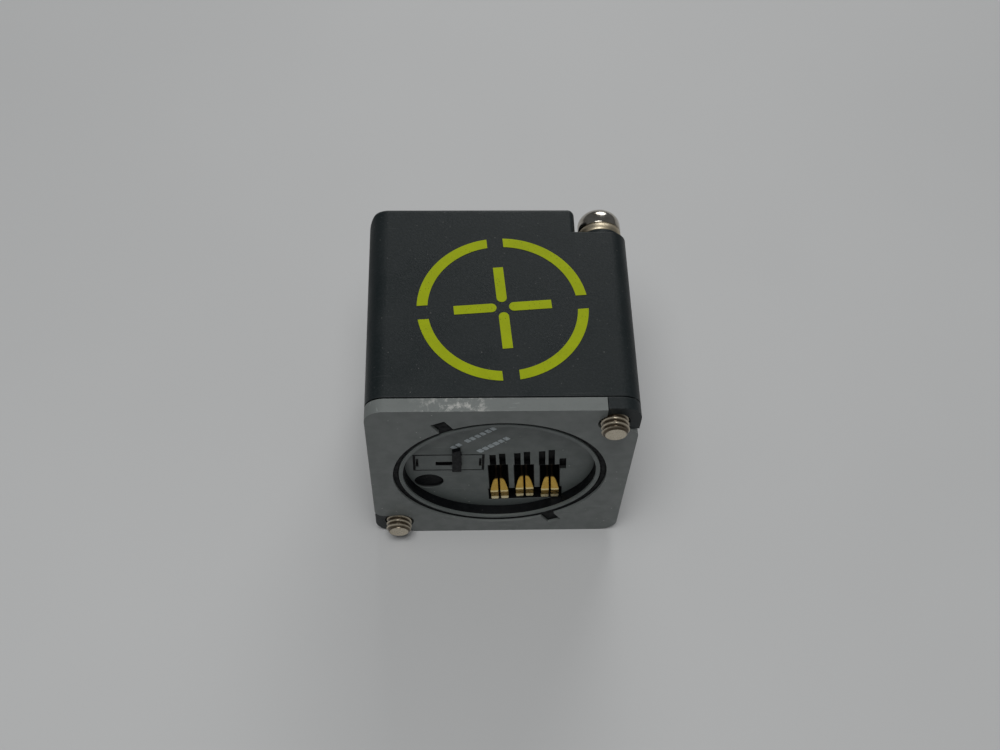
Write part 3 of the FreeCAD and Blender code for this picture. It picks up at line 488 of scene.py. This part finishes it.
def mesh_object(name, points, faces, smooth_angle=35):
    """A new object with outward normals. Edges sharper than the angle stay sharp."""
    mesh = bpy.data.meshes.new(name)
    mesh.from_pydata([tuple(p) for p in points], [], faces)
    work = bmesh.new()
    work.from_mesh(mesh)
    bmesh.ops.recalc_face_normals(work, faces=work.faces)
    work.to_mesh(mesh)
    work.free()
    thing = bpy.data.objects.new(name, mesh)
    bpy.context.scene.collection.objects.link(thing)
    smooth(thing, smooth_angle)
    return thing


def smooth(thing, angle):
    """Smooth shading except across edges sharper than the angle."""
    for face in thing.data.polygons:
        face.use_smooth = True
    thing.data.set_sharp_from_angle(angle=math.radians(angle))


def stitched(rows):
    """Points and faces of closed rings of equally many points, joined and capped."""
    count = len(rows[0])
    points = [p for row in rows for p in row]
    faces = []
    for i in range(len(rows) - 1):
        for j in range(count):
            a = i * count + j
            b = i * count + (j + 1) % count
            faces.append((a, b, b + count, a + count))
    faces.append(tuple(range(count)))
    faces.append(tuple(len(points) - 1 - j for j in range(count)))
    return points, faces


def bevel_edges(thing, mm):
    """Rounds the edges of a piece that keeps its CAD shape."""
    bevel = thing.modifiers.new("bevel", "BEVEL")
    bevel.width = mm * MM
    bevel.segments = 2
    bevel.limit_method = "ANGLE"
    bevel.angle_limit = math.radians(30)
    bevel.harden_normals = False


def carve(thing, cutter):
    """Takes the cutter away from the object's mesh, and removes the cutter."""
    cut = thing.modifiers.new("cut", "BOOLEAN")
    cut.operation = "DIFFERENCE"
    cut.solver = "EXACT"
    cut.object = cutter
    graph = bpy.context.evaluated_depsgraph_get()
    mesh = bpy.data.meshes.new_from_object(thing.evaluated_get(graph))
    thing.modifiers.clear()
    thing.data = mesh
    bpy.data.objects.remove(cutter)


def block(name, low, high):
    """A box between two corners."""
    points = [
        (x, y, z) for x in (low[0], high[0]) for y in (low[1], high[1]) for z in (low[2], high[2])
    ]
    faces = [(0, 1, 3, 2), (4, 6, 7, 5), (0, 4, 5, 1), (2, 3, 7, 6), (0, 2, 6, 4), (1, 5, 7, 3)]
    return mesh_object(name, points, faces)


# ---- captive screws and lock washers ---------------------------------------------------

# Lengths and radii are in millimetres, and THREAD_START and WASHER_GAP in radians.
# ROOT_FLAT and FLANK_SHARE are shares of half a pitch; the rest of it is the flat crest.
# FLANK_CURVE is how much of the flank is eased, from 0 for straight to 1 for an S-curve.
SCREW_SEGMENTS = 72
RINGS_PER_PITCH = 14
THREAD_PITCH = 0.794
THREAD_RADIUS = 2.085
THREAD_DEPTH = 0.47
THREAD_LENGTH = 6.1
THREAD_START = {"upper": 0.0, "lower": 2.1}
ROOT_FLAT = 0.14
FLANK_SHARE = 0.72
FLANK_CURVE = 0.35
TIP_CHAMFER = 0.5
TIP_SLOPE = 1.1
RUN_OUT = 0.4
RUN_OUT_SLOPE = 1.6
SHANK_RADIUS = 1.68
HEAD_GAP = 0.05
HEAD_CROWN = 2.6
HEAD_FILLET = 0.18
FILLET_STEPS = 4
DOME_STEPS = 15
DOME_POWER = 0.9
SLOT_WIDTH = 1.1
SLOT_DEPTH = 1.7
SLOT_REACH = 5.0
WASHER_INNER = 2.2
WASHER_RISE = 0.14
WASHER_ROUNDING = 0.12
WASHER_GAP = 0.075
WASHER_STEPS = 80


def thread_radius(along, angle):
    """Radius of the thread at a distance from the tip, in millimetres."""
    turn = (along / THREAD_PITCH - angle / (2 * math.pi)) % 1.0
    flank = min(1.0, max(0.0, (abs(2 * turn - 1) - ROOT_FLAT) / FLANK_SHARE))
    eased = flank * flank * (3 - 2 * flank)
    profile = eased * FLANK_CURVE + flank * (1 - FLANK_CURVE)
    cut_tip = THREAD_RADIUS - TIP_CHAMFER + along * TIP_SLOPE
    run_out = SHANK_RADIUS + max(0.0, THREAD_LENGTH - along) * RUN_OUT_SLOPE
    radius = THREAD_RADIUS - THREAD_DEPTH * (1 - profile)
    return min(radius, cut_tip, run_out)


def head_profile(seat, top, radius):
    """(distance from the tip, radius) pairs of the domed head, in millimetres."""
    side = top - HEAD_CROWN
    edge = radius - HEAD_FILLET
    rows = [(seat, SHANK_RADIUS), (seat, edge)]
    for i in range(1, FILLET_STEPS + 1):
        turn = math.pi / 2 * i / FILLET_STEPS
        rise, out = HEAD_FILLET * (1 - math.cos(turn)), HEAD_FILLET * math.sin(turn)
        rows.append((seat + rise, edge + out))
    for i in range(DOME_STEPS):
        turn = math.pi / 2 * i / DOME_STEPS
        rows.append((side + HEAD_CROWN * math.sin(turn), radius * math.cos(turn) ** DOME_POWER))
    return rows


def screw_rows(side, seat, length, head_radius):
    """Rings of (distance from the tip, radius) pairs from the tip to the top of the head."""
    start = THREAD_START[side]
    angles = [2 * math.pi * j / SCREW_SEGMENTS for j in range(SCREW_SEGMENTS)]
    steps = int(THREAD_LENGTH / (THREAD_PITCH / RINGS_PER_PITCH))
    rows = []
    for i in range(steps + 1):
        along = THREAD_LENGTH * i / steps
        rows.append([(along, thread_radius(along, a + start)) for a in angles])
    profile = [(THREAD_LENGTH + RUN_OUT, SHANK_RADIUS)] + head_profile(seat, length, head_radius)
    rows += [[pair] * SCREW_SEGMENTS for pair in profile]
    return angles, rows


def make_screw(side):
    """Slotted screw with a short cut thread and an undercut shank."""
    node = f"captive_screw_{side}"
    low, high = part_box(node)
    centre = (low + high) / 2
    length = (high.y - low.y) / MM
    head_radius = (high.x - low.x) / 2 / MM
    seat = (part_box(f"lock_washer_{side}")[1].y - low.y) / MM + HEAD_GAP
    angles, rows = screw_rows(side, seat, length, head_radius)
    rings = []
    for row in rows:
        ring = []
        for angle, (along, radius) in zip(angles, row):
            x = centre.x + radius * MM * math.cos(angle)
            z = centre.z + radius * MM * math.sin(angle)
            ring.append((x, low.y + along * MM, z))
        rings.append(ring)
    points, faces = stitched(rings)
    screw = mesh_object(f"screw_{side}", points, faces, 50)
    half = SLOT_WIDTH / 2 * MM
    reach = SLOT_REACH * MM
    cutter = block(
        "slot_cutter",
        (centre.x - reach, high.y - SLOT_DEPTH * MM, centre.z - half),
        (centre.x + reach, high.y + reach, centre.z + half),
    )
    carve(screw, cutter)
    smooth(screw, 40)
    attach(screw, f"{side}_screw")
    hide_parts(node)
    return screw


def make_washer(side):
    """Split spring washer: a rounded flat coil with a rise from end to end."""
    node = f"lock_washer_{side}"
    low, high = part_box(node)
    centre = (low + high) / 2
    outer = (high.x - low.x) / 2
    inner = WASHER_INNER * MM
    rise = WASHER_RISE * MM
    thick = (high.y - low.y) - rise
    soft = WASHER_ROUNDING * MM
    section = [
        (inner + soft, 0), (outer - soft, 0), (outer, soft), (outer, thick - soft),
        (outer - soft, thick), (inner + soft, thick), (inner, thick - soft), (inner, soft),
    ]
    rows = []
    for i in range(WASHER_STEPS + 1):
        share = i / WASHER_STEPS
        angle = WASHER_GAP - math.pi / 2 + (2 * math.pi - 2 * WASHER_GAP) * share
        base = low.y + rise * share
        across, above = math.cos(angle), math.sin(angle)
        rows.append([(centre.x + r * across, base + y, centre.z + r * above) for r, y in section])
    points, faces = stitched(rows)
    washer = mesh_object(f"washer_{side}", points, faces, 50)
    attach(washer, f"{side}_washer")
    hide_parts(node)
    return washer


# ---- contact fingers -------------------------------------------------------------------

# Millimetres. Heights are counted from the hub's axis, and depths from the mating face.
STRIP = 0.3
STRIP_ROUNDING = 0.07
TIP_NARROWING = 0.09
CONTACT_TURN = math.radians(3.5)
FIRST_PAIR = -0.29
PAIR_PITCH = 4.1
FINGER_GAP = 0.34
FORK = -2.4
CREST_DEPTH = 1.25
SHOULDER_DROP = 5.45
LONGEST_STEP = 0.3
BEND_STEPS = 5
# Half the width of a pair of fingers at each height.
WIDTHS = (
    (-8.1, 1.45), (-7.6, 1.38), (-6.9, 1.22), (-6.2, 1.03),
    (-5.8, 0.88), (-5.55, 0.74), (-5.4, 0.58),
)


def rounded_path(corners):
    """Points along straight runs joined by bends. A corner is (depth, height, bend radius)."""
    path = [Vector(corners[0][:2])]
    for before, corner, after in zip(corners, corners[1:], corners[2:]):
        middle = Vector(corner[:2])
        start = middle + (Vector(before[:2]) - middle).normalized() * corner[2]
        end = middle + (Vector(after[:2]) - middle).normalized() * corner[2]
        for i in range(BEND_STEPS + 1):
            t = i / BEND_STEPS
            path.append(start * (1 - t) ** 2 + middle * 2 * t * (1 - t) + end * t * t)
    path.append(Vector(corners[-1][:2]))
    return path


def divided(path):
    """The same path with no step longer than LONGEST_STEP."""
    result = [path[0]]
    for a, b in zip(path, path[1:]):
        parts = max(1, math.ceil((b - a).length / LONGEST_STEP))
        result += [a.lerp(b, (i + 1) / parts) for i in range(parts)]
    return result


def half_width(z):
    """Outer edge of a pair of fingers at a height above the hub's axis."""
    if z <= WIDTHS[0][0]:
        return WIDTHS[0][1]
    for (z0, w0), (z1, w1) in zip(WIDTHS, WIDTHS[1:]):
        if z <= z1:
            return w0 + (w1 - w0) * (z - z0) / (z1 - z0)
    return WIDTHS[-1][1]


def strip_rows(path, edges):
    """Cross-sections of a bent strip. edges(height) gives its left and right edge."""
    rows = []
    soft = STRIP_ROUNDING
    half = STRIP / 2
    for i, spot in enumerate(path):
        ahead = path[min(i + 1, len(path) - 1)] - path[max(i - 1, 0)]
        along = ahead.normalized()
        out = Vector((along.y, -along.x))
        left, right = edges(spot.y)
        if i in (0, len(path) - 1):
            left, right = left + TIP_NARROWING, right - TIP_NARROWING
        section = [
            (left, -half + soft), (left + soft, -half), (right - soft, -half),
            (right, -half + soft), (right, half - soft), (right - soft, half),
            (left + soft, half), (left, half - soft),
        ]
        rows.append([(x, spot.x + out.x * n, spot.y + out.y * n) for x, n in section])
    return rows


def make_fingers(number):
    """One pair of gold fingers, slit from the fork down to the foot."""
    node = f"contact_fingers_{number}"
    half = STRIP / 2
    sunk = (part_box(node)[0].y - FRONT_Y) / MM - CREST_DEPTH + half
    root = (4.2 + half, -1.0, 0)
    elbow = (3.6 + half, -3.9, 0.5)
    shoulder = (2.3 + sunk, -5.3, 0.35)
    crest = (1.25 + sunk, -8.0, 0.45)
    facet = (2.05 + sunk, -11.1, 0.25)
    foot = (2.0 + sunk, -12.1, 0)
    path = divided(rounded_path([root, elbow, shoulder, crest, facet, foot]))
    # The slit part and the whole part overlap a little at the fork.
    lower = [spot for spot in path if spot.y < FORK + 0.1]
    upper = [spot for spot in path if spot.y > FORK - 0.25]
    inner = FINGER_GAP / 2
    shapes = [
        strip_rows(lower, lambda z: (inner, half_width(z))),
        strip_rows(lower, lambda z: (-half_width(z), -inner)),
        strip_rows(upper, lambda z: (-half_width(z), half_width(z))),
    ]
    middle = FIRST_PAIR + PAIR_PITCH * (number - 1)
    points, faces = [], []
    for rows in shapes:
        new_points, new_faces = stitched(rows)
        offset = len(points)
        for x, y, z in new_points:
            across = (x + middle) * math.cos(CONTACT_TURN) - z * math.sin(CONTACT_TURN)
            above = (x + middle) * math.sin(CONTACT_TURN) + z * math.cos(CONTACT_TURN)
            points.append((across * MM, depth(y), HUB_Z + above * MM))
        faces += [tuple(i + offset for i in face) for face in new_faces]
    fingers = mesh_object(f"spring_fingers_{number}", points, faces, 30)
    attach(fingers, f"contact_{number}")
    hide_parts(node)
    return fingers


# ---- printed marks ---------------------------------------------------------------------

# Start and end of each row from the hub's axis, and how many marks each of its groups has.
MARK_ROWS = (
    ((-7.5, 5.3), (-0.8, 11.8), (2, 6)),
    ((-3.4, 4.1), (1.3, 8.75), (6,)),
)
MARK_SEED = 7
GROUP_GAP = 0.8
MARK_THICKNESS = 0.03
MARK_ROUNDING = 0.14
CORNER_STEPS = 3


def make_marks():
    """Two slanting rows of plain blocks beside the selector, in place of its wording."""
    chance = random.Random(MARK_SEED)
    points, faces = [], []
    for start, end, groups in MARK_ROWS:
        start, end = Vector(start), Vector(end)
        along = (end - start).normalized()
        across = Vector((-along.y, along.x))
        places = sum(groups) + GROUP_GAP * (len(groups) - 1)
        step = (end - start).length / places
        spot = 0.0
        for group in groups:
            for _ in range(group):
                wide = step * chance.uniform(0.7, 0.86)
                tall = chance.uniform(0.9, 1.0)
                corner = start + along * spot * step - across * tall / 2
                ring = [corner + along * u + across * v for u, v in rounded_tile(wide, tall)]
                add_tile(points, faces, ring)
                spot += 1
            spot += GROUP_GAP
    marks = mesh_object("selector_marks", points, faces)
    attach(marks, "head")
    return marks


def add_tile(points, faces, ring):
    """One raised mark with the outline given, on the floor of the recess."""
    count = len(ring)
    offset = len(points)
    for level in (0.0, -MARK_THICKNESS):
        points += [(p.x * MM, FLOOR_Y + level * MM, HUB_Z + p.y * MM) for p in ring]
    faces.append(tuple(offset + i for i in range(count)))
    faces.append(tuple(offset + count + i for i in reversed(range(count))))
    for i in range(count):
        j = (i + 1) % count
        faces.append((offset + i, offset + j, offset + count + j, offset + count + i))


def rounded_tile(wide, tall):
    """Outline of a small rounded rectangle."""
    radius = MARK_ROUNDING
    ring = []
    centres = [
        (wide - radius, radius, -90), (wide - radius, tall - radius, 0),
        (radius, tall - radius, 90), (radius, radius, 180),
    ]
    for x, y, first in centres:
        for i in range(CORNER_STEPS + 1):
            turn = math.radians(first + 90 * i / CORNER_STEPS)
            ring.append((x + radius * math.cos(turn), y + radius * math.sin(turn)))
    return ring


# ---- assembly --------------------------------------------------------------------------

BEVELLED = ("selector_slide", "selector_bezel", "seal_retainer", "hub_gasket")


def make_floor():
    """A square table, 3 m wide."""
    mesh = bpy.data.meshes.new("floor")
    reach = 1.5
    mesh.from_pydata(
        [(-reach, -reach, 0), (reach, -reach, 0), (reach, reach, 0), (-reach, reach, 0)],
        [],
        [(0, 1, 2, 3)],
    )
    floor = bpy.data.objects.new("floor", mesh)
    bpy.context.scene.collection.objects.link(floor)
    dress(floor, floor_finish())


def dress_cad():
    """Materials of the pieces whose CAD shape stays."""
    black = black_plastic_finish("insulator_black")
    gray = carrier_finish("carrier_gray")
    rubber = rubber_finish()
    gold = gold_finish()
    component = plain_inner_finish("component_black", (0.03, 0.03, 0.032), 0.4)
    copper = plain_inner_finish("enamelled_copper", (0.6, 0.25, 0.09), 0.3, 1.0)
    finishes = {
        "housing_shell": housing_finish(),
        "base_plate": plate_finish(),
        "contact_carrier": gray,
        "seal_retainer": carrier_finish("retainer_gray"),
        "selector_bezel": gray,
        "hub_gasket": rubber,
        "fill_plug": rubber,
        "selector_slide": black_plastic_finish("knob_black", (0.0045, 0.005, 0.006), 0.45, 0.1),
        "selector_switch_body": black,
        "contact_block": black,
        "circuit_board": plain_inner_finish("board_green", (0.02, 0.11, 0.05), 0.3),
        "ferrite_core": plain_inner_finish("ferrite_gray", (0.05, 0.05, 0.055), 0.6),
        "coil_bobbin": plain_inner_finish("bobbin_nylon", (0.7, 0.68, 0.62), 0.5),
        "coil_winding": copper,
        "coil_leads": copper,
        "potting_compound": plain_inner_finish("potting_resin", (0.03, 0.026, 0.02), 0.25),
        "reticle_print": ink_finish(),
        "oscillator_chip": component,
        "output_transistor": component,
        "chip_capacitors": component,
    }
    for name, material in finishes.items():
        dress(NODES[name], material)
    for i in (1, 2, 3):
        dress(NODES[f"contact_terminal_{i}"], gold)


def dress_screws():
    """The two captive screws with their washers."""
    nickel, tarnish = (0.52, 0.49, 0.44), (0.3, 0.26, 0.2)
    washer_metal = steel_finish("washer_steel", (0.6, 0.53, 0.4), (0.42, 0.35, 0.24), 0.38, 0.55)
    for side in ("upper", "lower"):
        low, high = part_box(f"captive_screw_{side}")
        axis = ((low.x + high.x) / 2 / MM, (low.z + high.z) / 2 / MM)
        metal = steel_finish(f"screw_nickel_{side}", nickel, tarnish, 0.12, 0.28, axis)
        dress(make_screw(side), metal)
        dress(make_washer(side), washer_metal)


make_camera()
make_world()
for lamp in LAMPS:
    make_lamp(*lamp)
make_floor()
dress_cad()
finger_gold = gold_finish(with_painted_light=True)
dress_screws()
for contact in (1, 2, 3):
    dress(make_fingers(contact), finger_gold)
dress(make_marks(), mark_finish())
for piece in BEVELLED:
    bevel_edges(NODES[piece], 0.1)
